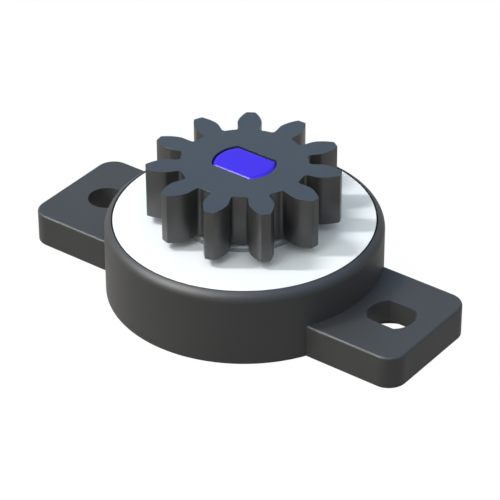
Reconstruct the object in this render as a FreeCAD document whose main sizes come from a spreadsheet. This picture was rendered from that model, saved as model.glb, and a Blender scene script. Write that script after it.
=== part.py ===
import FreeCAD, Part
import Sketcher
import math
import os

# Rotary damper with a pinion, in millimetres.
# The origin is on the axis of rotation, on the base that the damper is screwed down by.
# +Z is up the shaft and X runs through the two mounting ears.

sizes = {
    # case: a round cup with two ears, moulded in one
    "case_diameter": 15.0,
    "case_height": 4.3,
    "case_floor": 0.8,
    "rim_wall": 0.43,
    "rim_drop": 0.56,
    "ledge_width": 0.87,
    "ear_width": 7.05,
    "ear_thickness": 1.9,
    "ear_corner_radius": 1.05,
    "ear_edge_radius": 0.2,
    "ear_end_margin": 2.575,
    "hole_standoff": 2.05,
    "screw_hole_diameter": 2.05,
    "slot_travel": 0.55,
    "ear_recess_diameter": 3.8,
    "ear_recess_depth": 0.6,
    "gate_recess_diameter": 1.6,
    "gate_recess_depth": 0.15,
    # pivot that the rotor turns on, inside the case
    "pivot_diameter": 2.0,
    "pivot_height": 1.5,
    "pivot_chamfer": 0.2,
    "pivot_clearance": 0.03,
    # cap: closes the case and guides the shaft
    "cap_thickness": 1.0,
    "cap_clearance": 0.03,
    "cap_chamfer": 0.15,
    "collar_diameter": 6.9,
    "collar_height": 0.23,
    # rotor: disc, journal and shaft end with two flats
    "disc_thickness": 0.7,
    "disc_gap": 0.15,
    "disc_play": 0.08,
    "hub_diameter": 3.8,
    "floor_play": 0.05,
    "journal_diameter": 4.0,
    "journal_clearance": 0.03,
    "shaft_diameter": 3.4,
    "shaft_flat_depth": 0.53,
    "shaft_edge": 0.25,
    # damping labyrinth: rings on the floor and on the disc that stand in one another's gaps
    "labyrinth_rings": 2,
    "labyrinth_wall": 0.45,
    "labyrinth_gap": 0.15,
    # seal round the journal
    "seal_section": 0.85,
    "seal_clearance": 0.02,
    # gear on the shaft
    "gear_module": 0.8,
    "gear_teeth": 11,
    "gear_pressure_angle": 20.0,
    "gear_addendum": 1.0,
    "gear_dedendum": 1.25,
    "gear_root_fillet": 0.2,
    "gear_width": 2.9,
    "gear_gap": 0.25,
    "gear_fit": 0.01,
}

# Radii and heights that several pieces share, as formulas on the sheet.
case_radius = "size.case_diameter / 2"
lip_radius = f"({case_radius} - size.rim_wall)"
cavity_radius = f"({lip_radius} - size.ledge_width)"
pivot_radius = "size.pivot_diameter / 2"
hub_radius = "size.hub_diameter / 2"
journal_radius = "size.journal_diameter / 2"
hole_reach = f"({case_radius} + size.hole_standoff)"
shaft_flats = "(size.shaft_diameter - 2 * size.shaft_flat_depth)"
cap_underside = "(size.case_height - size.cap_thickness)"
collar_top = "(size.case_height + size.collar_height)"
disc_top = f"({cap_underside} - size.disc_play)"
disc_underside = f"({disc_top} - size.disc_thickness)"
pivot_top = "(size.case_floor + size.pivot_height)"
gear_seat = f"({collar_top} + size.gear_gap)"
seal_radius = f"({journal_radius} + size.seal_clearance + size.seal_section / 2)"
seal_height = f"({disc_top} + size.seal_clearance + size.seal_section / 2)"
seal_seat_radius = f"({seal_radius} + size.seal_section / 2 + size.seal_clearance)"
seal_seat_top = f"({seal_height} + size.seal_section / 2 + size.seal_clearance)"
ring_pitch = f"(({cavity_radius} - {hub_radius}) / (2 * size.labyrinth_rings + 1))"

# An edge lies at a height if it is no further from it than this.
height_tolerance = 0.001

doc = FreeCAD.newDocument("rotary_damper")


def make_sheet():
    sheet = doc.addObject("Spreadsheet::Sheet", "size")
    for row, (alias, number) in enumerate(sizes.items(), start=1):
        sheet.set(f"A{row}", alias)
        sheet.set(f"B{row}", str(number))
        sheet.setAlias(f"B{row}", alias)
    doc.recompute()
    return sheet


sheet = make_sheet()


def number(formula):
    result = sheet.evalExpression(formula)
    return float(getattr(result, "Value", result))


def make_body(name):
    body = doc.addObject("PartDesign::Body", name)
    body.Label = name
    return body


def origin_feature(body, role):
    return next(item for item in body.Origin.OriginFeatures if item.Role == role)


def make_sketch(body, name, plane, height=None):
    sketch = body.newObject("Sketcher::SketchObject", name)
    sketch.AttachmentSupport = (origin_feature(body, plane), [""])
    sketch.MapMode = "FlatFace"
    if height:
        sketch.setExpression(".AttachmentOffset.Base.z", height)
    return sketch


def bind(sketch, kind, *places, formula):
    index = sketch.addConstraint(Sketcher.Constraint(kind, *places, number(formula)))
    sketch.setExpression(f"Constraints[{index}]", formula)


def fix_point(sketch, line, across, up):
    # Ties the start of a line to its distances from the sketch's origin.
    if number(across) == 0:
        sketch.addConstraint(Sketcher.Constraint("PointOnObject", line, 1, -2))
    else:
        bind(sketch, "DistanceX", -1, 1, line, 1, formula=across)
    if number(up) == 0:
        sketch.addConstraint(Sketcher.Constraint("PointOnObject", line, 1, -1))
    else:
        bind(sketch, "DistanceY", -1, 1, line, 1, formula=up)


def draw_section(sketch, corners):
    # A closed half section. Each corner is a radius and a height, both formulas.
    points = [FreeCAD.Vector(number(across), number(up), 0) for across, up in corners]
    first = sketch.GeometryCount
    count = len(points)
    for index, point in enumerate(points):
        sketch.addGeometry(Part.LineSegment(point, points[(index + 1) % count]), False)
    for index, (across, up) in enumerate(corners):
        follower = first + (index + 1) % count
        sketch.addConstraint(Sketcher.Constraint("Coincident", first + index, 2, follower, 1))
        fix_point(sketch, first + index, across, up)


def draw_rectangle(sketch, width, depth):
    # A rectangle centred on the sketch's origin.
    right = number(width) / 2
    back = number(depth) / 2
    corners = [(-right, -back), (right, -back), (right, back), (-right, back)]
    points = [FreeCAD.Vector(x, y, 0) for x, y in corners]
    for index in range(4):
        sketch.addGeometry(Part.LineSegment(points[index], points[(index + 1) % 4]), False)
    for index in range(4):
        sketch.addConstraint(Sketcher.Constraint("Coincident", index, 2, (index + 1) % 4, 1))
    for index in (0, 2):
        sketch.addConstraint(Sketcher.Constraint("Horizontal", index))
        sketch.addConstraint(Sketcher.Constraint("Vertical", index + 1))
    sketch.addConstraint(Sketcher.Constraint("Symmetric", 0, 1, 2, 1, -1, 1))
    bind(sketch, "DistanceX", 0, 1, 0, 2, formula=width)
    bind(sketch, "DistanceY", 1, 1, 1, 2, formula=depth)


def draw_circle(sketch, diameter, left_of_axis=None):
    reach = number(left_of_axis) if left_of_axis else 0
    centre = FreeCAD.Vector(-reach, 0, 0)
    circle = sketch.addGeometry(Part.Circle(centre, FreeCAD.Vector(0, 0, 1), number(diameter) / 2), False)
    if left_of_axis:
        sketch.addConstraint(Sketcher.Constraint("PointOnObject", circle, 3, -1))
        bind(sketch, "DistanceX", circle, 3, -1, 1, formula=left_of_axis)
    else:
        sketch.addConstraint(Sketcher.Constraint("Coincident", circle, 3, -1, 1))
    bind(sketch, "Diameter", circle, formula=diameter)


def draw_two_flats(sketch, diameter, across_flats, right_of_axis=None):
    # A circle cut by two flats that run along X.
    reach = number(right_of_axis) if right_of_axis else 0
    radius = number(diameter) / 2
    half_flats = number(across_flats) / 2
    half_chord = math.sqrt(radius ** 2 - half_flats ** 2)
    angle = math.atan2(half_flats, half_chord)
    circle = Part.Circle(FreeCAD.Vector(reach, 0, 0), FreeCAD.Vector(0, 0, 1), radius)
    front_right = FreeCAD.Vector(reach + half_chord, -half_flats, 0)
    back_right = FreeCAD.Vector(reach + half_chord, half_flats, 0)
    back_left = FreeCAD.Vector(reach - half_chord, half_flats, 0)
    front_left = FreeCAD.Vector(reach - half_chord, -half_flats, 0)
    right_arc = sketch.addGeometry(Part.ArcOfCircle(circle, -angle, angle), False)
    back_flat = sketch.addGeometry(Part.LineSegment(back_right, back_left), False)
    left_arc = sketch.addGeometry(Part.ArcOfCircle(circle, math.pi - angle, math.pi + angle), False)
    front_flat = sketch.addGeometry(Part.LineSegment(front_left, front_right), False)
    loop = [right_arc, back_flat, left_arc, front_flat]
    for here, following in zip(loop, loop[1:] + loop[:1]):
        sketch.addConstraint(Sketcher.Constraint("Coincident", here, 2, following, 1))
    sketch.addConstraint(Sketcher.Constraint("Horizontal", back_flat))
    sketch.addConstraint(Sketcher.Constraint("Horizontal", front_flat))
    sketch.addConstraint(Sketcher.Constraint("Coincident", right_arc, 3, left_arc, 3))
    sketch.addConstraint(Sketcher.Constraint("Equal", right_arc, left_arc))
    if right_of_axis:
        sketch.addConstraint(Sketcher.Constraint("PointOnObject", right_arc, 3, -1))
        bind(sketch, "DistanceX", -1, 1, right_arc, 3, formula=right_of_axis)
    else:
        sketch.addConstraint(Sketcher.Constraint("Coincident", right_arc, 3, -1, 1))
    bind(sketch, "Diameter", right_arc, formula=diameter)
    bind(sketch, "DistanceY", right_arc, 3, back_flat, 1, formula=f"({across_flats}) / 2")
    bind(sketch, "DistanceY", front_flat, 1, right_arc, 3, formula=f"({across_flats}) / 2")


def volume(body):
    return 0 if body.Shape.isNull() else body.Shape.Volume


def settle(body, before, grows):
    # Recomputes after a feature and makes sure that it added or removed material.
    doc.recompute()
    change = volume(body) - before
    if (change > 0) != grows or change == 0:
        raise RuntimeError(f"{body.Tip.Name} changed nothing on {body.Label}")


def turn(body, name, sketch, cut=False):
    # A turned form about the shaft's axis: added, or cut away.
    before = volume(body)
    kind = "PartDesign::Groove" if cut else "PartDesign::Revolution"
    feature = body.newObject(kind, name)
    feature.Profile = sketch
    feature.ReferenceAxis = (sketch, ["V_Axis"])
    feature.Angle = 360
    settle(body, before, grows=not cut)
    return feature


def pad(body, name, sketch, length):
    before = volume(body)
    feature = body.newObject("PartDesign::Pad", name)
    feature.Profile = sketch
    feature.setExpression("Length", length)
    settle(body, before, grows=True)
    return feature


def cut_upwards(body, name, sketch, depth=None):
    # A pocket from the sketch's plane towards +Z, right through where no depth is given.
    before = volume(body)
    feature = body.newObject("PartDesign::Pocket", name)
    feature.Profile = sketch
    feature.Reversed = True
    if depth:
        feature.setExpression("Length", depth)
    else:
        feature.Type = "ThroughAll"
    settle(body, before, grows=False)
    return feature


def edges_where(feature, test):
    names = []
    for index, edge in enumerate(feature.Shape.Edges, start=1):
        if test(edge.BoundBox):
            names.append(f"Edge{index}")
    return names


def round_edges(body, name, base, edges, radius):
    before = volume(body)
    feature = body.newObject("PartDesign::Fillet", name)
    feature.Base = (base, edges)
    feature.setExpression("Radius", radius)
    settle(body, before, grows=False)
    return feature


def is_upright(box):
    return box.ZLength > max(box.XLength, box.YLength)


def at_height(formula):
    height = number(formula)
    return lambda box: max(abs(box.ZMin - height), abs(box.ZMax - height)) < height_tolerance


def draw_rings(sketch, first_step, low, high):
    # One rectangle for each labyrinth ring, every second step out from the hub.
    for ring in range(int(sizes["labyrinth_rings"])):
        middle = f"({hub_radius} + {first_step + 2 * ring} * {ring_pitch})"
        inner = f"{middle} - size.labyrinth_wall / 2"
        outer = f"{middle} + size.labyrinth_wall / 2"
        draw_section(sketch, [(inner, low), (outer, low), (outer, high), (inner, high)])


def draw_case_outside(sketch):
    # Solid puck with a rounded rim. The arc leaves the wall upright and ends at the lip's inner edge.
    radius = number(case_radius)
    height = number("size.case_height")
    wall = sizes["rim_wall"]
    drop = sizes["rim_drop"]
    bend = (wall ** 2 + drop ** 2) / (2 * wall)
    centre = FreeCAD.Vector(radius - bend, height - drop, 0)
    top_angle = math.atan2(drop, bend - wall)
    base = FreeCAD.Vector(0, 0, 0)
    edge = FreeCAD.Vector(radius, 0, 0)
    shoulder = FreeCAD.Vector(radius, height - drop, 0)
    lip = FreeCAD.Vector(radius - wall, height, 0)
    top = FreeCAD.Vector(0, height, 0)
    axis_line, base_line, wall_line, rim_arc, top_line = range(5)
    sketch.addGeometry(Part.LineSegment(top, base), False)
    sketch.addGeometry(Part.LineSegment(base, edge), False)
    sketch.addGeometry(Part.LineSegment(edge, shoulder), False)
    circle = Part.Circle(centre, FreeCAD.Vector(0, 0, 1), bend)
    sketch.addGeometry(Part.ArcOfCircle(circle, 0, top_angle), False)
    sketch.addGeometry(Part.LineSegment(lip, top), False)
    joined = [(axis_line, base_line), (base_line, wall_line), (rim_arc, top_line), (top_line, axis_line)]
    for here, following in joined:
        sketch.addConstraint(Sketcher.Constraint("Coincident", here, 2, following, 1))
    sketch.addConstraint(Sketcher.Constraint("Tangent", wall_line, 2, rim_arc, 1))
    sketch.addConstraint(Sketcher.Constraint("Coincident", base_line, 1, -1, 1))
    sketch.addConstraint(Sketcher.Constraint("Horizontal", base_line))
    sketch.addConstraint(Sketcher.Constraint("Vertical", wall_line))
    sketch.addConstraint(Sketcher.Constraint("Vertical", axis_line))
    sketch.addConstraint(Sketcher.Constraint("Horizontal", top_line))
    bind(sketch, "DistanceX", -1, 1, base_line, 2, formula=case_radius)
    bind(sketch, "DistanceY", -1, 1, wall_line, 2, formula="size.case_height - size.rim_drop")
    bind(sketch, "DistanceX", -1, 1, top_line, 1, formula=lip_radius)
    bind(sketch, "DistanceY", -1, 1, top_line, 1, formula="size.case_height")


def make_case():
    body = make_body("case")

    # The two ears are one plate through the case, rounded at its corners and along its upper edge.
    plate = make_sketch(body, "ear_outline", "XY_Plane")
    ear_span = f"2 * ({hole_reach} + size.ear_end_margin)"
    draw_rectangle(plate, ear_span, "size.ear_width")
    ears = pad(body, "ears", plate, "size.ear_thickness")
    uprights = edges_where(ears, is_upright)
    corners = round_edges(body, "ear_corners", ears, uprights, "size.ear_corner_radius")
    upper = edges_where(corners, at_height("size.ear_thickness"))
    round_edges(body, "ear_upper_edge", corners, upper, "size.ear_edge_radius")

    outside = make_sketch(body, "case_outside", "XZ_Plane")
    draw_case_outside(outside)
    turn(body, "case_wall", outside)

    # The chamber for the rotor, and above it the wider seat that the cap drops into.
    chamber = make_sketch(body, "chamber_section", "XZ_Plane")
    draw_section(chamber, [
        ("0", "size.case_floor"),
        (cavity_radius, "size.case_floor"),
        (cavity_radius, cap_underside),
        (lip_radius, cap_underside),
        (lip_radius, "size.case_height"),
        ("0", "size.case_height"),
    ])
    turn(body, "chamber", chamber, cut=True)

    pivot = make_sketch(body, "pivot_section", "XZ_Plane")
    draw_section(pivot, [
        ("0", "size.case_floor"),
        (pivot_radius, "size.case_floor"),
        (pivot_radius, f"{pivot_top} - size.pivot_chamfer"),
        (f"{pivot_radius} - size.pivot_chamfer", pivot_top),
        ("0", pivot_top),
    ])
    turn(body, "pivot", pivot)

    rings = make_sketch(body, "floor_ring_section", "XZ_Plane")
    draw_rings(rings, 1, "size.case_floor", f"{disc_underside} - size.labyrinth_gap")
    turn(body, "floor_rings", rings)

    round_hole = make_sketch(body, "round_hole_outline", "XY_Plane")
    draw_circle(round_hole, "size.screw_hole_diameter", left_of_axis=hole_reach)
    cut_upwards(body, "round_hole", round_hole)

    slotted_hole = make_sketch(body, "slotted_hole_outline", "XY_Plane")
    slot_length = "size.screw_hole_diameter + size.slot_travel"
    draw_two_flats(slotted_hole, slot_length, "size.screw_hole_diameter", right_of_axis=hole_reach)
    cut_upwards(body, "slotted_hole", slotted_hole)

    # Both holes are recessed from below by the same amount.
    ear_recess = make_sketch(body, "ear_recess_outline", "XY_Plane")
    draw_circle(ear_recess, "size.ear_recess_diameter", left_of_axis=hole_reach)
    left_recess = cut_upwards(body, "left_ear_recess", ear_recess, depth="size.ear_recess_depth")
    before = volume(body)
    both_recesses = body.newObject("PartDesign::Mirrored", "both_ear_recesses")
    both_recesses.Originals = [left_recess]
    both_recesses.MirrorPlane = (origin_feature(body, "YZ_Plane"), [""])
    body.Tip = both_recesses
    settle(body, before, grows=False)

    recess = make_sketch(body, "gate_recess_outline", "XY_Plane")
    draw_circle(recess, "size.gate_recess_diameter")
    cut_upwards(body, "gate_recess", recess, depth="size.gate_recess_depth")
    return body


def make_cap():
    # White disc, flush with the rim, with a low collar round the shaft and a seat for the seal beneath.
    body = make_body("cap")
    cap_radius = f"({lip_radius} - size.cap_clearance)"
    bore_radius = f"({journal_radius} + size.journal_clearance)"
    collar_radius = "size.collar_diameter / 2"
    section = make_sketch(body, "cap_section", "XZ_Plane")
    draw_section(section, [
        (seal_seat_radius, cap_underside),
        (f"{cap_radius} - size.cap_chamfer", cap_underside),
        (cap_radius, f"{cap_underside} + size.cap_chamfer"),
        (cap_radius, "size.case_height"),
        (collar_radius, "size.case_height"),
        (collar_radius, collar_top),
        (bore_radius, collar_top),
        (bore_radius, seal_seat_top),
        (seal_seat_radius, seal_seat_top),
    ])
    turn(body, "cap_disc", section)
    return body


def make_seal():
    # Rubber ring in the cap's seat, round the journal and over the disc.
    ring = doc.addObject("Part::Torus", "o_ring")
    ring.Label = "o_ring"
    ring.setExpression("Radius1", seal_radius)
    ring.setExpression("Radius2", "size.seal_section / 2")
    ring.setExpression(".Placement.Base.z", seal_height)
    return ring


def make_rotor():
    body = make_body("rotor")
    hub_foot = "(size.case_floor + size.floor_play)"
    pivot_bore_radius = f"({pivot_radius} + size.pivot_clearance)"
    pivot_bore_top = f"({pivot_top} + size.floor_play)"
    disc_radius = f"({cavity_radius} - size.disc_gap)"
    section = make_sketch(body, "rotor_section", "XZ_Plane")
    draw_section(section, [
        (pivot_bore_radius, hub_foot),
        (hub_radius, hub_foot),
        (hub_radius, disc_underside),
        (disc_radius, disc_underside),
        (disc_radius, disc_top),
        (journal_radius, disc_top),
        (journal_radius, gear_seat),
        ("0", gear_seat),
        ("0", pivot_bore_top),
        (pivot_bore_radius, pivot_bore_top),
    ])
    turn(body, "disc_and_journal", section)

    rings = make_sketch(body, "disc_ring_section", "XZ_Plane")
    draw_rings(rings, 2, "size.case_floor + size.labyrinth_gap", disc_underside)
    turn(body, "disc_rings", rings)

    # Shaft end with two flats. It carries the gear on the journal's shoulder and ends level with it.
    outline = make_sketch(body, "shaft_outline", "XY_Plane", height=gear_seat)
    draw_two_flats(outline, "size.shaft_diameter", shaft_flats)
    shaft = pad(body, "shaft_end", outline, "size.gear_width")
    rim = edges_where(shaft, at_height(f"{gear_seat} + size.gear_width"))
    round_edges(body, "shaft_edge", shaft, rim, "size.shaft_edge")
    return body


def involute(angle):
    return math.tan(angle) - angle


def polar(radius, angle, side=1):
    # A point at an angle from -Y, towards +X for side 1 and towards -X for side -1.
    return FreeCAD.Vector(side * radius * math.sin(angle), -radius * math.cos(angle), 0)


def gear_circles():
    # Radii of the circles that a tooth gap is drawn on, and its half angle at the base circle.
    teeth = sizes["gear_teeth"]
    module = sizes["gear_module"]
    pressure = math.radians(sizes["gear_pressure_angle"])
    cutter_overrun = 0.1 * module
    pitch = module * teeth / 2
    return {
        "base": pitch * math.cos(pressure),
        "root": pitch - sizes["gear_dedendum"] * module,
        "outer": pitch + sizes["gear_addendum"] * module + cutter_overrun,
        "half_gap": math.pi / (2 * teeth) - involute(pressure),
    }


def involute_points(circles, side):
    # Points up one flank, from the base circle to just past the tip circle.
    steps = 6
    last_roll = math.sqrt((circles["outer"] / circles["base"]) ** 2 - 1)
    points = []
    for step in range(steps + 1):
        roll = last_roll * step / steps
        radius = circles["base"] * math.sqrt(1 + roll ** 2)
        angle = circles["half_gap"] + roll - math.atan(roll)
        points.append(polar(radius, angle, side))
    return points


def draw_flank(sketch, circles, side):
    # Root fillet, straight wall up to the base circle, then the involute.
    fillet = sizes["gear_root_fillet"]
    centre_radius = circles["root"] + fillet
    root_angle = circles["half_gap"] - math.asin(fillet / centre_radius)
    root_end = polar(circles["root"], root_angle, side)
    wall_foot = polar(math.sqrt(centre_radius ** 2 - fillet ** 2), circles["half_gap"], side)
    centre = polar(centre_radius, root_angle, side)
    towards_corner = ((root_end + wall_foot) * 0.5 - centre).normalize()
    fillet_middle = centre + towards_corner * fillet
    points = involute_points(circles, side)
    curve = Part.BSplineCurve()
    curve.interpolate(points)
    sketch.addGeometry(Part.Arc(root_end, fillet_middle, wall_foot), False)
    sketch.addGeometry(Part.LineSegment(wall_foot, points[0]), False)
    sketch.addGeometry(curve, False)
    return root_end, points[-1]


def draw_tooth_gap(sketch):
    # The space between two teeth, centred on -Y and closed by an arc clear of the tip circle.
    circles = gear_circles()
    right_root, right_outer = draw_flank(sketch, circles, 1)
    left_root, left_outer = draw_flank(sketch, circles, -1)
    sketch.addGeometry(Part.Arc(left_root, polar(circles["root"], 0), right_root), False)
    sketch.addGeometry(Part.Arc(left_outer, polar(circles["outer"], 0), right_outer), False)


def make_gear():
    body = make_body("gear")
    blank = make_sketch(body, "blank_outline", "XY_Plane", height=gear_seat)
    draw_circle(blank, "size.gear_module * (size.gear_teeth + 2 * size.gear_addendum)")
    pad(body, "blank", blank, "size.gear_width")

    bore = make_sketch(body, "bore_outline", "XY_Plane", height=gear_seat)
    draw_two_flats(bore, "size.shaft_diameter + 2 * size.gear_fit", f"{shaft_flats} + 2 * size.gear_fit")
    cut_upwards(body, "bore", bore)

    gap_outline = make_sketch(body, "tooth_gap_outline", "XY_Plane", height=gear_seat)
    draw_tooth_gap(gap_outline)
    gap = cut_upwards(body, "tooth_gap", gap_outline)

    before = volume(body)
    teeth = body.newObject("PartDesign::PolarPattern", "teeth")
    teeth.Originals = [gap]
    teeth.Axis = (origin_feature(body, "Z_Axis"), [""])
    teeth.Angle = 360
    teeth.setExpression("Occurrences", "size.gear_teeth")
    body.Tip = teeth
    settle(body, before, grows=False)
    return body


def check_document(pieces):
    doc.recompute()
    for item in doc.Objects:
        if "Invalid" in item.State or "Error" in item.State:
            raise RuntimeError(f"{item.Label} failed: {item.State}")
    for piece in pieces:
        if piece.Shape.isNull() or not piece.Shape.isValid():
            raise RuntimeError(f"{piece.Label} has no valid shape")
        if len(piece.Shape.Solids) != 1:
            raise RuntimeError(f"{piece.Label} is not one solid")


def write_parts(pieces):
    os.makedirs("parts", exist_ok=True)
    for piece in pieces:
        piece.Shape.exportStep(os.path.join("parts", f"{piece.Label}.step"))
        box = piece.Shape.BoundBox
        print(f"{piece.Label}: {piece.Shape.Volume:.2f} mm3, z {box.ZMin:.3f} to {box.ZMax:.3f}")


pieces = [make_case(), make_cap(), make_seal(), make_rotor(), make_gear()]
check_document(pieces)
write_parts(pieces)
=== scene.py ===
import math

import bmesh
import bpy
from mathutils import Matrix, Vector


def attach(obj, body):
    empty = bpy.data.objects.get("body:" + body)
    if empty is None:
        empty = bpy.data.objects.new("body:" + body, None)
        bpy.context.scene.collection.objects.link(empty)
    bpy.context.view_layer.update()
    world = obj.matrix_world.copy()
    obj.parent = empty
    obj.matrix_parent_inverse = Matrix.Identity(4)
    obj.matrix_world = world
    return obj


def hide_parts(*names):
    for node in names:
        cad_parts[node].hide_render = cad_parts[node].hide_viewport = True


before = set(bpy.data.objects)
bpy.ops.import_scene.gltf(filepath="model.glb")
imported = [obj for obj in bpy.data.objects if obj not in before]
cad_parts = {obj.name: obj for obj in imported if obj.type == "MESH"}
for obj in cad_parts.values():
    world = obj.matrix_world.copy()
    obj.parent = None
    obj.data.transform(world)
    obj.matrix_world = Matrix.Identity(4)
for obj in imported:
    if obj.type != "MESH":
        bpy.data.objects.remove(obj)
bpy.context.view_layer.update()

mm = 0.001  # sizes are written in millimetres, Blender works in metres

print("frame loaded:", ", ".join(sorted(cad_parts)))


# rings of points are skinned into closed meshes
def circleRing(radius, height, angles):
    return [(radius * math.cos(angle), radius * math.sin(angle), height) for angle in angles]


def roundedRectangle(halfLength, halfWidth, cornerRadius, stepsPerCorner):
    points = []
    for turn, (sideX, sideY) in enumerate(((1, 1), (-1, 1), (-1, -1), (1, -1))):
        for step in range(stepsPerCorner + 1):
            angle = math.radians(90 * turn + 90 * step / stepsPerCorner)
            x = sideX * (halfLength - cornerRadius) + cornerRadius * math.cos(angle)
            y = sideY * (halfWidth - cornerRadius) + cornerRadius * math.sin(angle)
            points.append((x, y))
    return points


def flattedCircle(radius, halfFlats, arcSteps, flatSteps):
    # a circle cut by two flats that run along X, as on the shaft end and in the slotted hole
    reach = math.sqrt(radius ** 2 - halfFlats ** 2)
    corner = math.atan2(halfFlats, reach)
    points = []
    for side in (0, math.pi):
        for step in range(arcSteps):
            angle = side - corner + 2 * corner * step / arcSteps
            points.append((radius * math.cos(angle), radius * math.sin(angle)))
        for step in range(flatSteps):
            slide = reach - 2 * reach * step / flatSteps
            points.append((slide, halfFlats) if side == 0 else (-slide, -halfFlats))
    return points


def roundCorners(section, steps=4):
    # section holds (radius, height, rounding); each corner with a rounding becomes a short arc
    outline = []
    for index, (across, up, rounding) in enumerate(section):
        here = Vector((across, up))
        if not rounding:
            outline.append(here)
            continue
        back = (Vector(section[index - 1][:2]) - here).normalized()
        onward = (Vector(section[(index + 1) % len(section)][:2]) - here).normalized()
        half = back.angle(onward) / 2
        centre = here + (back + onward).normalized() * rounding / math.sin(half)
        first = (here + back * rounding / math.tan(half) - centre).normalized()
        last = (here + onward * rounding / math.tan(half) - centre).normalized()
        for step in range(steps + 1):
            outline.append(centre + first.slerp(last, step / steps) * rounding)
    return outline


def skinRings(name, rings, ends="capped", loops=True):
    # joins each ring to the next; the ends are capped, joined to each other or left open
    mesh = bpy.data.meshes.new(name)
    bm = bmesh.new()
    rows = [[bm.verts.new(Vector(point) * mm) for point in ring] for ring in rings]
    count = len(rows[0])
    pairs = list(zip(rows, rows[1:]))
    if ends == "joined":
        pairs.append((rows[-1], rows[0]))
    for lower, upper in pairs:
        for index in range(count if loops else count - 1):
            following = (index + 1) % count
            bm.faces.new((lower[index], lower[following], upper[following], upper[index]))
    if ends == "capped":
        bm.faces.new(list(reversed(rows[0])))
        bm.faces.new(rows[-1])
    if ends != "open":
        bmesh.ops.recalc_face_normals(bm, faces=bm.faces)
    bm.to_mesh(mesh)
    bm.free()
    piece = bpy.data.objects.new(name, mesh)
    bpy.context.scene.collection.objects.link(piece)
    return piece


def evenAngles(count):
    return [2 * math.pi * index / count for index in range(count)]


def carve(piece, tool, operation):
    cut = piece.modifiers.new(tool.name, "BOOLEAN")
    cut.operation = operation
    cut.solver = "EXACT"
    cut.object = tool


def settleMesh(piece, name):
    # the evaluated result becomes a plain mesh and the modifiers go
    evaluated = piece.evaluated_get(bpy.context.evaluated_depsgraph_get())
    plain = bpy.data.meshes.new_from_object(evaluated)
    piece.modifiers.clear()
    piece.data = plain
    plain.name = name


def smoothBetweenEdges(piece, sharpAbove=32):
    # flats stay flat beside the small rounded edges, and real corners stay crisp
    piece.data.shade_smooth()
    piece.data.set_sharp_from_angle(angle=math.radians(sharpAbove))
    weighted = piece.modifiers.new("flatsStayFlat", "WEIGHTED_NORMAL")
    weighted.keep_sharp = True
    settleMesh(piece, piece.name)


def removeTools(*tools):
    for tool in tools:
        bpy.data.objects.remove(tool)


def linearColour(hexColour):
    channels = [int(hexColour[place:place + 2], 16) / 255 for place in (1, 3, 5)]
    return [c / 12.92 if c <= 0.04045 else ((c + 0.055) / 1.055) ** 2.4 for c in channels] + [1]


def addNode(tree, kind, inputs=None, **settings):
    node = tree.nodes.new(kind)
    for setting, value in settings.items():
        setattr(node, setting, value)
    for socket, value in (inputs or {}).items():
        if isinstance(value, bpy.types.NodeSocket):
            tree.links.new(value, node.inputs[socket])
        else:
            node.inputs[socket].default_value = value
    return node


def perMetre(sizeInMm):
    return 1 / (sizeInMm * mm)  # noise scale that gives grains of this size


def mouldedPlastic(name, finish):
    material = bpy.data.materials.new(name)
    material.use_nodes = True
    tree = material.node_tree
    tree.nodes.clear()
    place = addNode(tree, "ShaderNodeTexCoord").outputs["Object"]

    # the tool's spark-eroded skin, printed on the part as a fine even grain
    grain = addNode(tree, "ShaderNodeTexNoise", {"Vector": place, "Scale": perMetre(finish["grainSize"]),
                                                 "Detail": 3, "Roughness": 0.55})
    # slow drift of gloss and tone where the melt cooled unevenly
    flow = addNode(tree, "ShaderNodeTexNoise", {"Vector": place, "Scale": perMetre(finish["flowSize"]),
                                                "Detail": 2, "Roughness": 0.5})
    roughness = addNode(tree, "ShaderNodeMapRange", {"Value": flow.outputs["Fac"], "From Min": 0.3, "From Max": 0.7,
                                                     "To Min": finish["roughness"] - finish["glossDrift"],
                                                     "To Max": finish["roughness"] + finish["glossDrift"]})
    tone = addNode(tree, "ShaderNodeMix", {"Factor": flow.outputs["Fac"], "A": linearColour(finish["deepColour"]),
                                           "B": linearColour(finish["paleColour"])}, data_type="RGBA")
    if "shadeBandColour" in finish:
        # painted shade: a narrow grey band round the piece, between two heights
        height = addNode(tree, "ShaderNodeSeparateXYZ", {0: place}).outputs["Z"]
        above, below = (addNode(tree, "ShaderNodeMath", {0: height, 1: finish[limit] * mm}, operation=side).outputs[0]
                        for limit, side in (("shadeBandLow", "GREATER_THAN"), ("shadeBandHigh", "LESS_THAN")))
        inside = addNode(tree, "ShaderNodeMath", {0: above, 1: below}, operation="MULTIPLY")
        tone = addNode(tree, "ShaderNodeMix", {"Factor": inside.outputs[0], "A": tone.outputs["Result"],
                                               "B": linearColour(finish["shadeBandColour"])}, data_type="RGBA")
    bump = addNode(tree, "ShaderNodeBump", {"Height": grain.outputs["Fac"], "Strength": 1.0,
                                            "Distance": finish["grainDepth"] * mm})
    shader = addNode(tree, "ShaderNodeBsdfPrincipled", {"Base Color": tone.outputs["Result"],
                                                        "Roughness": roughness.outputs["Result"],
                                                        "IOR": finish["ior"], "Normal": bump.outputs["Normal"]})
    addNode(tree, "ShaderNodeOutputMaterial", {"Surface": shader.outputs["BSDF"]})
    return material


# acetal, moulded against a fine spark-eroded tool: a satin dark grey that pales only at a glancing angle
caseAcetal = mouldedPlastic("case_acetal_spark_eroded", {
    "deepColour": "#373635", "paleColour": "#3b3a39", "roughness": 0.5, "glossDrift": 0.03,
    "ior": 1.37, "grainSize": 0.09, "grainDepth": 0.0016, "flowSize": 4.0})

# acetal from a polished tool: a darker grey than the case's, a little bluer where the sky lies on its flat top
gearAcetal = mouldedPlastic("gear_acetal_polished_tool", {
    "deepColour": "#2e2d2c", "paleColour": "#323130", "roughness": 0.36, "glossDrift": 0.03,
    "ior": 1.62, "grainSize": 0.07, "grainDepth": 0.001, "flowSize": 2.5})
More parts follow.
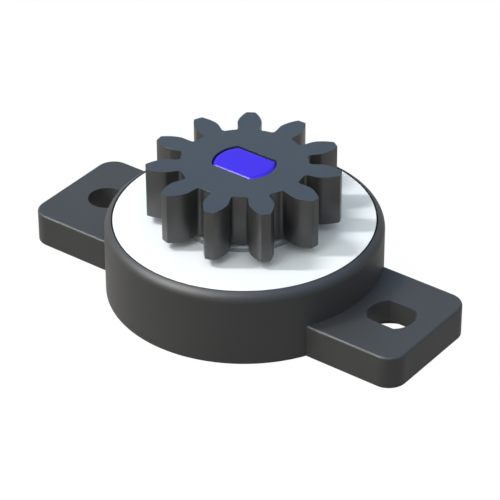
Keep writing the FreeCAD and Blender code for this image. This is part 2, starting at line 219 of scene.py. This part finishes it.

# natural white acetal: bright and waxy, with soft grey shades; painted shade greys the collar's side, between two
# heights
capAcetal = mouldedPlastic("cap_acetal_natural_white", {
    "deepColour": "#f1f3f2", "paleColour": "#f7f8f8", "roughness": 0.42, "glossDrift": 0.04,
    "ior": 1.45, "grainSize": 0.12, "grainDepth": 0.0015, "flowSize": 5.0,
    "shadeBandColour": "#808283", "shadeBandLow": 4.305, "shadeBandHigh": 4.525})

# blue dyed acetal with a polished end: clear saturated blue with a pale glint along its rounded edge
rotorAcetal = mouldedPlastic("rotor_acetal_dyed_blue", {
    "deepColour": "#3000ce", "paleColour": "#3404d5", "roughness": 0.4, "glossDrift": 0.03,
    "ior": 1.46, "grainSize": 0.07, "grainDepth": 0.0008, "flowSize": 2.0})

# nitrile rubber, moulded and oiled: near black with a dull sheen
sealRubber = mouldedPlastic("seal_nitrile_moulded", {
    "deepColour": "#121212", "paleColour": "#1c1c1c", "roughness": 0.55, "glossDrift": 0.06,
    "ior": 1.5, "grainSize": 0.06, "grainDepth": 0.001, "flowSize": 1.5})

print("materials made")


# round cup with two ears, one moulding
case = {
    "radius": 7.5, "height": 4.3, "rimWall": 0.39, "rimDrop": 0.56,
    "floor": 0.8, "capSeat": 3.3, "chamberRadius": 6.2,
    "ringMiddles": (2.76, 4.48), "ringHalfWall": 0.225, "ringTop": 2.37,
    "pivotRadius": 1.0, "pivotTop": 2.3, "pivotChamfer": 0.2,
    "earReach": 12.125, "earHalfWidth": 3.525, "earThickness": 1.9, "earCorner": 1.05, "earEdge": 0.14,
    "holeReach": 9.55, "holeRadius": 1.025, "slotRadius": 1.3, "recessRadius": 1.9, "recessDepth": 0.6,
    "gateRadius": 0.8, "gateDepth": 0.15,
    "edge": 0.05, "holeEdge": 0.03, "holeEdgeBend": 0.29,  # the bend is a share of the edge, halfway round its arc
    "cutPast": 0.2, "cutAbove": 0.5, "cutClear": 0.001,  # how far the cutting tools stand out of the plastic
    "wallSteps": 288, "edgeSteps": 4, "earEdgeSteps": 8, "earCornerSteps": 14,
    "holeSteps": 72, "slotArcSteps": 24, "slotFlatSteps": 4, "recessSteps": 96,
}


def rimArc(steps=12):
    # leaves the wall upright and ends at the lip's inner edge
    wall, drop = case["rimWall"], case["rimDrop"]
    bend = (wall ** 2 + drop ** 2) / (2 * wall)
    last = math.atan2(drop, bend - wall)
    for step in range(steps + 1):
        angle = last * step / steps
        yield case["radius"] - bend + bend * math.cos(angle), case["height"] - drop + bend * math.sin(angle)


def quarterTurn(steps, size):
    # (inset, rise) pairs round a quarter circle, from a wall up to a flat
    for step in range(steps + 1):
        angle = math.radians(90 * step / steps)
        yield size * (1 - math.cos(angle)), size * math.sin(angle)


def roundRecess(name, radius, depth, shift=0):
    # cuts upwards from below the underside
    rings = []
    for height in (-case["cutPast"], depth):
        circle = circleRing(radius, height, evenAngles(case["recessSteps"]))
        rings.append([(x + shift, y, z) for x, y, z in circle])
    return skinRings(name, rings)


def makeCase():
    around = evenAngles(case["wallSteps"])
    edge = case["edge"]
    lowerEdge = [(inset, edge - rise) for inset, rise in reversed(list(quarterTurn(case["edgeSteps"], edge)))]
    outside = [(case["radius"] - inset, height) for inset, height in lowerEdge] + list(rimArc())
    shell = skinRings("case_shell", [circleRing(r, z, around) for r, z in outside])

    rings = []
    thickness, fillet = case["earThickness"], case["earEdge"]
    upperEdge = [(inset, thickness - fillet + rise) for inset, rise in quarterTurn(case["earEdgeSteps"], fillet)]
    for inset, height in lowerEdge + upperEdge:
        outline = roundedRectangle(case["earReach"] - inset, case["earHalfWidth"] - inset,
                                   case["earCorner"] - inset, case["earCornerSteps"])
        rings.append([(x, y, height) for x, y in outline])
    ears = skinRings("earPlate", rings)

    lip = case["radius"] - case["rimWall"]
    inside = [(lip, case["height"] + case["cutAbove"]), (lip, case["capSeat"]),
              (case["chamberRadius"], case["capSeat"]), (case["chamberRadius"], case["floor"])]
    for middle in reversed(case["ringMiddles"]):
        outer, inner = middle + case["ringHalfWall"], middle - case["ringHalfWall"]
        inside += [(outer, case["floor"]), (outer, case["ringTop"]), (inner, case["ringTop"]), (inner, case["floor"])]
    pivot, chamfer = case["pivotRadius"], case["pivotChamfer"]
    inside += [(pivot, case["floor"]), (pivot, case["pivotTop"] - chamfer), (pivot - chamfer, case["pivotTop"])]
    chamber = skinRings("chamber", [circleRing(r, z, around) for r, z in inside])

    holes = []
    # a hole's tool widens at both faces, which rounds the hole's edges
    flare, ceiling = case["holeEdge"], case["recessDepth"]
    bend = flare * case["holeEdgeBend"]
    lead = [(flare, -case["cutPast"]), (flare, -case["cutClear"]), (bend, bend), (0, flare)]
    steps = [(out, ceiling + height) for out, height in lead]
    steps += [(out, thickness - height) for out, height in reversed(lead)]
    for name, radius, halfFlats, shift in (
            ("roundHole", case["holeRadius"], None, -case["holeReach"]),
            ("slottedHole", case["slotRadius"], case["holeRadius"], case["holeReach"])):
        levels = []
        for out, height in steps:
            if halfFlats:
                outline = flattedCircle(radius + out, halfFlats + out, case["slotArcSteps"], case["slotFlatSteps"])
            else:
                outline = [(x, y) for x, y, _ in circleRing(radius + out, 0, evenAngles(case["holeSteps"]))]
            levels.append([(x + shift, y, height) for x, y in outline])
        holes.append(skinRings(name, levels))
        holes.append(roundRecess(f"{name}Recess", case["recessRadius"], ceiling, shift))
    gate = roundRecess("gateRecess", case["gateRadius"], case["gateDepth"])

    carve(shell, ears, "UNION")
    for tool in (chamber, *holes, gate):
        carve(shell, tool, "DIFFERENCE")
    settleMesh(shell, "case_shell")
    removeTools(ears, chamber, *holes, gate)
    smoothBetweenEdges(shell)
    shell.data.materials.append(caseAcetal)
    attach(shell, "housing")
    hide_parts("case")


makeCase()
print("case made")


# white disc with a low collar, flush with the rim
cap = {
    "radius": 7.03, "top": 4.3, "underside": 3.3, "chamfer": 0.15,
    "collarRadius": 3.45, "collarTop": 4.53, "boreRadius": 2.03,
    "sealSeatRadius": 2.89, "sealSeatTop": 4.11,
    "edge": 0.02, "collarEdge": 0.06, "smallEdge": 0.03, "steps": 256,
}


def makeCap():
    section = [
        (cap["sealSeatRadius"], cap["underside"], cap["smallEdge"]),
        (cap["radius"] - cap["chamfer"], cap["underside"], 0),
        (cap["radius"], cap["underside"] + cap["chamfer"], 0),
        (cap["radius"], cap["top"], cap["edge"]),
        (cap["collarRadius"], cap["top"], cap["smallEdge"]),
        (cap["collarRadius"], cap["collarTop"], cap["collarEdge"]),
        (cap["boreRadius"], cap["collarTop"], cap["smallEdge"]),
        (cap["boreRadius"], cap["sealSeatTop"], 0),
        (cap["sealSeatRadius"], cap["sealSeatTop"], 0),
    ]
    around = evenAngles(cap["steps"])
    disc = skinRings("cap_disc", [circleRing(p.x, p.y, around) for p in roundCorners(section)], "joined")
    smoothBetweenEdges(disc)
    disc.data.materials.append(capAcetal)
    # painted shade: the disc's side, below its top edge, takes the case's dark plastic, so the narrow gap between disc
    # and rim reads dark
    disc.data.materials.append(caseAcetal)
    for face in disc.data.polygons:
        onShadedSide = math.hypot(face.center.x, face.center.y) > (cap["radius"] - cap["chamfer"]) * mm
        if onShadedSide and face.center.z < (cap["top"] - cap["edge"]) * mm:
            face.material_index = 1
    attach(disc, "housing")
    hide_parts("cap")


makeCap()
print("cap made")


# disc with labyrinth rings, journal and a shaft end with two flats
rotor = {
    "foot": 0.85, "hubRadius": 1.9, "discUnderside": 2.52, "discTop": 3.22, "discRadius": 6.05,
    "ringMiddles": (3.62, 5.34), "ringHalfWall": 0.225, "ringLow": 0.95,
    "pivotBore": 1.03, "pivotBoreTop": 2.35, "journalRadius": 2.0, "shoulder": 4.78,
    "shaftRadius": 1.7, "halfFlats": 1.17, "top": 7.68, "edge": 0.28,
    "arcSteps": 48, "flatSteps": 24, "edgeSteps": 8,
}


def makeRotor():
    turned = [(rotor["pivotBore"], rotor["pivotBoreTop"]), (rotor["pivotBore"], rotor["foot"]),
              (rotor["hubRadius"], rotor["foot"]), (rotor["hubRadius"], rotor["discUnderside"])]
    for middle in rotor["ringMiddles"]:
        inner, outer = middle - rotor["ringHalfWall"], middle + rotor["ringHalfWall"]
        turned += [(inner, rotor["discUnderside"]), (inner, rotor["ringLow"]),
                   (outer, rotor["ringLow"]), (outer, rotor["discUnderside"])]
    turned += [(rotor["discRadius"], rotor["discUnderside"]), (rotor["discRadius"], rotor["discTop"]),
               (rotor["journalRadius"], rotor["discTop"]), (rotor["journalRadius"], rotor["shoulder"])]
    arcSteps, flatSteps = rotor["arcSteps"], rotor["flatSteps"]
    shaftOutline = flattedCircle(rotor["shaftRadius"], rotor["halfFlats"], arcSteps, flatSteps)
    angles = [math.atan2(y, x) for x, y in shaftOutline]
    rings = [circleRing(r, z, angles) for r, z in turned]
    rings.append([(x, y, rotor["shoulder"]) for x, y in shaftOutline])
    edge = rotor["edge"]
    for inset, rise in quarterTurn(rotor["edgeSteps"], edge):
        outline = flattedCircle(rotor["shaftRadius"] - inset, rotor["halfFlats"] - inset, arcSteps, flatSteps)
        rings.append([(x, y, rotor["top"] - edge + rise) for x, y in outline])
    body = skinRings("rotor_shaft", rings)
    smoothBetweenEdges(body)
    body.data.materials.append(rotorAcetal)
    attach(body, "spinner")
    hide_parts("rotor")


makeRotor()
print("rotor made")


# one involute tooth, repeated round the shaft by Geometry Nodes
gear = {
    "module": 0.8, "teeth": 11, "pressureAngle": 20, "addendum": 1.0, "dedendum": 1.25,
    "rootFillet": 0.2, "tipEdge": 0.05, "edge": 0.003, "bottom": 4.78, "top": 7.68,
    "boreRadius": 1.71, "boreHalfFlats": 1.18, "firstTooth": 90, "weld": 0.0005,
    "rootSteps": 4, "filletSteps": 7, "flankSteps": 18, "cornerSteps": 5, "tipSteps": 3, "halvings": 50,
    "edgeSteps": 4, "boreArcSteps": 48, "boreFlatSteps": 24,
}


def heading(angle):
    return Vector((math.cos(angle), math.sin(angle)))


def halfTooth():
    # (point, outward normal) pairs from the middle of a gap to the middle of the tooth on +X
    pitch = gear["module"] * gear["teeth"] / 2
    pressure = math.radians(gear["pressureAngle"])
    base = pitch * math.cos(pressure)
    root = pitch - gear["dedendum"] * gear["module"]
    tip = pitch + gear["addendum"] * gear["module"]
    gapMiddle = -math.pi / gear["teeth"]
    wall = gapMiddle + math.pi / (2 * gear["teeth"]) - math.tan(pressure) + pressure
    fillet = gear["rootFillet"]
    filletTurn = wall - math.asin(fillet / (root + fillet))
    filletCentre = heading(filletTurn) * (root + fillet)

    def flankAt(roll):
        slope = math.atan(roll)
        turn = wall + roll - slope
        return heading(turn) * base * math.sqrt(1 + roll ** 2), heading(turn + slope - math.pi / 2)

    profile = []
    for step in range(gear["rootSteps"] + 1):
        turn = gapMiddle + (filletTurn - gapMiddle) * step / gear["rootSteps"]
        profile.append((heading(turn) * root, heading(turn)))
    for step in range(1, gear["filletSteps"] + 1):
        normal = heading(filletTurn + (wall - math.pi / 2 - filletTurn) * step / gear["filletSteps"])
        profile.append((filletCentre - normal * fillet, normal))

    # the tip's corner is a small arc that touches the flank and the tip circle
    low, high = 0, math.sqrt((tip / base) ** 2 - 1)
    for _ in range(gear["halvings"]):
        lastRoll = (low + high) / 2
        point, normal = flankAt(lastRoll)
        cornerCentre = point - normal * gear["tipEdge"]
        if cornerCentre.length < tip - gear["tipEdge"]:
            low = lastRoll
        else:
            high = lastRoll
    profile += [flankAt(lastRoll * step / gear["flankSteps"]) for step in range(gear["flankSteps"] + 1)]
    for step in range(1, gear["cornerSteps"] + 1):
        turned = normal.slerp(cornerCentre.normalized(), step / gear["cornerSteps"])
        profile.append((cornerCentre + turned * gear["tipEdge"], turned))
    cornerTurn = math.atan2(cornerCentre.y, cornerCentre.x)
    for step in range(1, gear["tipSteps"] + 1):
        turn = cornerTurn * (1 - step / gear["tipSteps"])
        profile.append((heading(turn) * tip, heading(turn)))
    return profile


def edgeLevels():
    # (inset, height) from the gear's lower face to its upper one, with both rims rounded
    edge = gear["edge"]
    upper = [(inset, gear["top"] - edge + rise) for inset, rise in quarterTurn(gear["edgeSteps"], edge)]
    return [(inset, gear["bottom"] + gear["top"] - height) for inset, height in reversed(upper)] + upper


def makeToothWall():
    half = halfTooth()
    mirrored = [(Vector((point.x, -point.y)), Vector((normal.x, -normal.y)))
                for point, normal in reversed(half[:-1])]
    rings = []
    for inset, height in edgeLevels():
        rings.append([(*(point - normal * inset), height) for point, normal in half + mirrored])
    return skinRings("gear_pinion", rings, "open", loops=False)


def makeBoreWall():
    rings = []
    for inset, height in edgeLevels():
        outline = flattedCircle(gear["boreRadius"] + inset, gear["boreHalfFlats"] + inset,
                                gear["boreArcSteps"], gear["boreFlatSteps"])
        rings.append([(x, y, height) for x, y in reversed(outline)])
    return skinRings("boreWall", rings, "open")


def toothedWheelTree():
    tree = bpy.data.node_groups.new("toothedWheel", "GeometryNodeTree")
    sockets = {}
    for name, kind in (("Tooth", "NodeSocketGeometry"), ("Teeth", "NodeSocketInt"),
                       ("First tooth", "NodeSocketFloat"), ("Bottom", "NodeSocketFloat"),
                       ("Top", "NodeSocketFloat"), ("Bore wall", "NodeSocketObject"),
                       ("Plastic", "NodeSocketMaterial")):
        sockets[name] = tree.interface.new_socket(name, in_out="INPUT", socket_type=kind).identifier
    tree.interface.new_socket("Gear", in_out="OUTPUT", socket_type="NodeSocketGeometry")
    given = tree.nodes.new("NodeGroupInput").outputs

    # one turned copy of the tooth for each tooth, welded into a ring
    spots = addNode(tree, "GeometryNodePoints", {"Count": given["Teeth"]})
    pitchAngle = addNode(tree, "ShaderNodeMath", {0: 2 * math.pi, 1: given["Teeth"]}, operation="DIVIDE")
    index = addNode(tree, "GeometryNodeInputIndex")
    turn = addNode(tree, "ShaderNodeMath", {0: index.outputs[0], 1: pitchAngle.outputs[0], 2: given["First tooth"]},
                   operation="MULTIPLY_ADD")
    turned = addNode(tree, "ShaderNodeCombineXYZ", {"Z": turn.outputs[0]})
    copies = addNode(tree, "GeometryNodeInstanceOnPoints", {"Points": spots.outputs[0], "Instance": given["Tooth"],
                                                            "Rotation": turned.outputs[0]})
    teeth = addNode(tree, "GeometryNodeRealizeInstances", {"Geometry": copies.outputs[0]})
    bore = addNode(tree, "GeometryNodeObjectInfo", {"Object": given["Bore wall"]})
    walls = addNode(tree, "GeometryNodeJoinGeometry", {"Geometry": teeth.outputs[0]})
    tree.links.new(bore.outputs["Geometry"], walls.inputs["Geometry"])
    welded = addNode(tree, "GeometryNodeMergeByDistance", {"Geometry": walls.outputs[0], "Distance": gear["weld"] * mm})

    # both end faces are filled between the rims of the teeth and of the bore
    neighbours = addNode(tree, "GeometryNodeInputMeshEdgeNeighbors")
    isRim = addNode(tree, "FunctionNodeCompare", {2: neighbours.outputs["Face Count"], 3: 1},
                    data_type="INT", operation="EQUAL")
    height = addNode(tree, "ShaderNodeSeparateXYZ", {0: addNode(tree, "GeometryNodeInputPosition").outputs[0]})
    middle = addNode(tree, "ShaderNodeMath", {0: given["Bottom"], 1: given["Top"]}, operation="ADD")
    doubled = addNode(tree, "ShaderNodeMath", {0: height.outputs["Z"], 1: 2.0}, operation="MULTIPLY")
    isUpper = addNode(tree, "FunctionNodeCompare", {0: doubled.outputs[0], 1: middle.outputs[0]},
                      data_type="FLOAT", operation="GREATER_THAN")
    faces = []
    for level, logic in (("Top", "AND"), ("Bottom", "NIMPLY")):
        chosen = addNode(tree, "FunctionNodeBooleanMath", {0: isRim.outputs[0], 1: isUpper.outputs[0]},
                         operation=logic)
        rims = addNode(tree, "GeometryNodeMeshToCurve", {"Mesh": welded.outputs[0], "Selection": chosen.outputs[0]})
        filled = addNode(tree, "GeometryNodeFillCurve", {"Curve": rims.outputs[0]}, mode="NGONS")
        lift = addNode(tree, "ShaderNodeCombineXYZ", {"Z": given[level]})
        face = addNode(tree, "GeometryNodeTransform", {"Geometry": filled.outputs[0], "Translation": lift.outputs[0]})
        if level == "Bottom":
            face = addNode(tree, "GeometryNodeFlipFaces", {"Mesh": face.outputs[0]})
        faces.append(face.outputs[0])
    joined = addNode(tree, "GeometryNodeJoinGeometry", {"Geometry": welded.outputs[0]})
    for face in faces:
        tree.links.new(face, joined.inputs["Geometry"])
    whole = addNode(tree, "GeometryNodeMergeByDistance", {"Geometry": joined.outputs[0], "Distance": gear["weld"] * mm})
    real = addNode(tree, "GeometryNodeRealizeInstances", {"Geometry": whole.outputs[0]})
    dressed = addNode(tree, "GeometryNodeSetMaterial", {"Geometry": real.outputs[0], "Material": given["Plastic"]})
    addNode(tree, "NodeGroupOutput", {0: dressed.outputs[0]})
    return tree, sockets


def makeGear():
    wheel = makeToothWall()
    boreWall = makeBoreWall()
    tree, sockets = toothedWheelTree()
    teeth = wheel.modifiers.new("toothedWheel", "NODES")
    teeth.node_group = tree
    for name, value in (("Teeth", gear["teeth"]), ("First tooth", math.radians(gear["firstTooth"])),
                        ("Bottom", gear["bottom"] * mm), ("Top", gear["top"] * mm),
                        ("Bore wall", boreWall), ("Plastic", gearAcetal)):
        teeth[sockets[name]] = value
    settleMesh(wheel, "gear_pinion")
    removeTools(boreWall)
    smoothBetweenEdges(wheel)
    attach(wheel, "spinner")
    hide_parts("gear")


makeGear()
print("gear made")


# the seal sits out of sight between cap and rotor
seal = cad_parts["o_ring"]
seal.data.materials.clear()
seal.data.materials.append(sealRubber)


# white card, sky and two softboxes
stage = {
    "floorHalfSize": 2000, "floorLevel": -0.01,
    "floorColour": "#a0a09d", "floorWhite": 0.975, "floorGlow": 1.015, "floorShine": "#d6d4d0",
    "skyAtHorizon": "#ffffff", "skyOverhead": "#8ccaff", "horizonHeight": 0.05, "overheadHeight": 0.6,
    "ambientAtHorizon": "#8c8985", "ambientOverhead": "#f2fcff", "ambient": 0.71,
    "lampColour": "#fcfdff", "lampDistance": 300,
    "lamps": {
        "sideSoftbox": {"towards": (-0.459, -0.344, 0.819), "width": 20, "height": 72, "power": 0.485},
        "frontSoftbox": {"towards": (-0.06, -0.69, 0.72), "width": 110, "height": 110, "power": 0.2},
    },
    "glints": {
        "key": {"towards": (-0.36, -0.6, 0.7), "inner": 8, "outer": 31, "strength": 21.0, "colour": "#fffbf9"},
        "fill": {"towards": (0.55, 0.05, 0.83), "inner": 10, "outer": 45, "strength": 2.4, "colour": "#a8c8ff"},
    },
}


def makeFloor():
    mesh = bpy.data.meshes.new("floor")
    half, level = stage["floorHalfSize"] * mm, stage["floorLevel"] * mm
    corners = [(-half, -half, level), (half, -half, level), (half, half, level), (-half, half, level)]
    mesh.from_pydata(corners, [], [(0, 1, 2, 3)])
    floor = bpy.data.objects.new("floor", mesh)
    bpy.context.scene.collection.objects.link(floor)
    material = bpy.data.materials.new("floor_matt_white_card")
    material.use_nodes = True
    tree = material.node_tree
    tree.nodes.clear()
    path = addNode(tree, "ShaderNodeLightPath")
    seen = addNode(tree, "ShaderNodeMath", {0: path.outputs["Is Camera Ray"], 1: path.outputs["Is Transmission Ray"]},
                   operation="ADD", use_clamp=True)
    share = addNode(tree, "ShaderNodeMath", {0: seen.outputs[0], 1: stage["floorWhite"]}, operation="MULTIPLY")
    card = addNode(tree, "ShaderNodeBsdfDiffuse", {"Color": linearColour(stage["floorColour"])})
    white = addNode(tree, "ShaderNodeEmission", {"Color": (1, 1, 1, 1), "Strength": stage["floorGlow"]})
    mixed = addNode(tree, "ShaderNodeMixShader", {0: share.outputs[0], 1: card.outputs[0], 2: white.outputs[0]})
    # the gloss sees a warmer, less bright card than the camera
    shine = addNode(tree, "ShaderNodeEmission", {"Color": linearColour(stage["floorShine"]), "Strength": 1.0})
    mixed = addNode(tree, "ShaderNodeMixShader", {0: path.outputs["Is Glossy Ray"], 1: mixed.outputs[0],
                                                  2: shine.outputs[0]})
    addNode(tree, "ShaderNodeOutputMaterial", {"Surface": mixed.outputs[0]})
    mesh.materials.append(material)


def makeSky():
    # the camera and the gloss see a sky that is white at the horizon and light blue overhead;
    # matt surfaces are lit by a plainer one, grey at the horizon and nearly white overhead
    world = bpy.data.worlds.new("studioSky")
    bpy.context.scene.world = world
    world.use_nodes = True
    tree = world.node_tree
    tree.nodes.clear()
    direction = addNode(tree, "ShaderNodeTexCoord").outputs["Generated"]
    height = addNode(tree, "ShaderNodeSeparateXYZ", {0: direction}).outputs["Z"]
    climb = addNode(tree, "ShaderNodeMapRange", {"Value": height, "From Min": stage["horizonHeight"],
                                                 "From Max": stage["overheadHeight"]}).outputs["Result"]
    path = addNode(tree, "ShaderNodeLightPath")
    seen = addNode(tree, "ShaderNodeMath", {0: path.outputs["Is Camera Ray"], 1: path.outputs["Is Glossy Ray"]},
                   operation="ADD")
    seen = addNode(tree, "ShaderNodeMath", {0: seen.outputs[0], 1: path.outputs["Is Transmission Ray"]},
                   operation="ADD", use_clamp=True)
    pale = addNode(tree, "ShaderNodeMix", {"Factor": climb, "A": linearColour(stage["skyAtHorizon"]),
                                           "B": linearColour(stage["skyOverhead"])}, data_type="RGBA")
    soft = addNode(tree, "ShaderNodeMix", {"Factor": climb, "A": linearColour(stage["ambientAtHorizon"]),
                                           "B": linearColour(stage["ambientOverhead"])}, data_type="RGBA")
    # the gloss also sees bright round patches with soft edges, which make the rim's highlight
    shown = addNode(tree, "ShaderNodeBackground", {"Color": pale.outputs["Result"], "Strength": 1.0})
    for glint in stage["glints"].values():
        facing = addNode(tree, "ShaderNodeVectorMath", {0: direction, 1: Vector(glint["towards"]).normalized()},
                         operation="DOT_PRODUCT").outputs["Value"]
        dark, bright = (math.cos(math.radians(glint[limit])) for limit in ("outer", "inner"))
        patch = addNode(tree, "ShaderNodeMapRange", {"Value": facing, "From Min": dark, "From Max": bright,
                                                     "To Max": glint["strength"]}, interpolation_type="SMOOTHSTEP")
        power = addNode(tree, "ShaderNodeMath", {0: patch.outputs["Result"], 1: path.outputs["Is Glossy Ray"]},
                        operation="MULTIPLY")
        glow = addNode(tree, "ShaderNodeBackground", {"Color": linearColour(glint["colour"]),
                                                      "Strength": power.outputs[0]})
        shown = addNode(tree, "ShaderNodeAddShader", {0: shown.outputs[0], 1: glow.outputs[0]})
    lit = addNode(tree, "ShaderNodeBackground", {"Color": soft.outputs["Result"], "Strength": stage["ambient"]})
    mixed = addNode(tree, "ShaderNodeMixShader", {0: seen.outputs[0], 1: lit.outputs[0], 2: shown.outputs[0]})
    addNode(tree, "ShaderNodeOutputWorld", {"Surface": mixed.outputs[0]})


def makeLamp(name, box):
    data = bpy.data.lights.new(name, "AREA")
    data.shape = "RECTANGLE"
    data.size = box["width"] * mm
    data.size_y = box["height"] * mm
    data.energy = box["power"]
    data.color = linearColour(stage["lampColour"])[:3]
    lamp = bpy.data.objects.new(name, data)
    bpy.context.scene.collection.objects.link(lamp)
    direction = Vector(box["towards"]).normalized()
    lamp.location = direction * stage["lampDistance"] * mm
    lamp.rotation_mode = "QUATERNION"
    lamp.rotation_quaternion = direction.to_track_quat("Z", "Y")


# where the photograph was taken from, solved from its edges
view = {
    "lens": 200.972, "sensorWidth": 36, "clipStart": 1, "clipEnd": 10000,
    "place": (75.13954, -100.0814, 84.57459),
    "right": (0.8020194, 0.59729327, -0.00237387),
    "up": (-0.32690445, 0.44227238, 0.83518179),
    "back": (0.49989836, -0.66905597, 0.54996886),
}


def makeCamera():
    data = bpy.data.cameras.new("camera")
    data.lens = view["lens"]
    data.sensor_width = view["sensorWidth"]
    data.clip_start = view["clipStart"] * mm
    data.clip_end = view["clipEnd"] * mm
    camera = bpy.data.objects.new("camera", data)
    bpy.context.scene.collection.objects.link(camera)
    axes = Matrix([Vector(view[axis]) for axis in ("right", "up", "back")])
    camera.matrix_world = axes.transposed().to_4x4()
    camera.location = Vector(view["place"]) * mm
    bpy.context.scene.camera = camera


makeFloor()
makeSky()
for name, box in stage["lamps"].items():
    makeLamp(name, box)
makeCamera()
bpy.context.scene.view_settings.view_transform = "Standard"
print("floor, light and camera set")
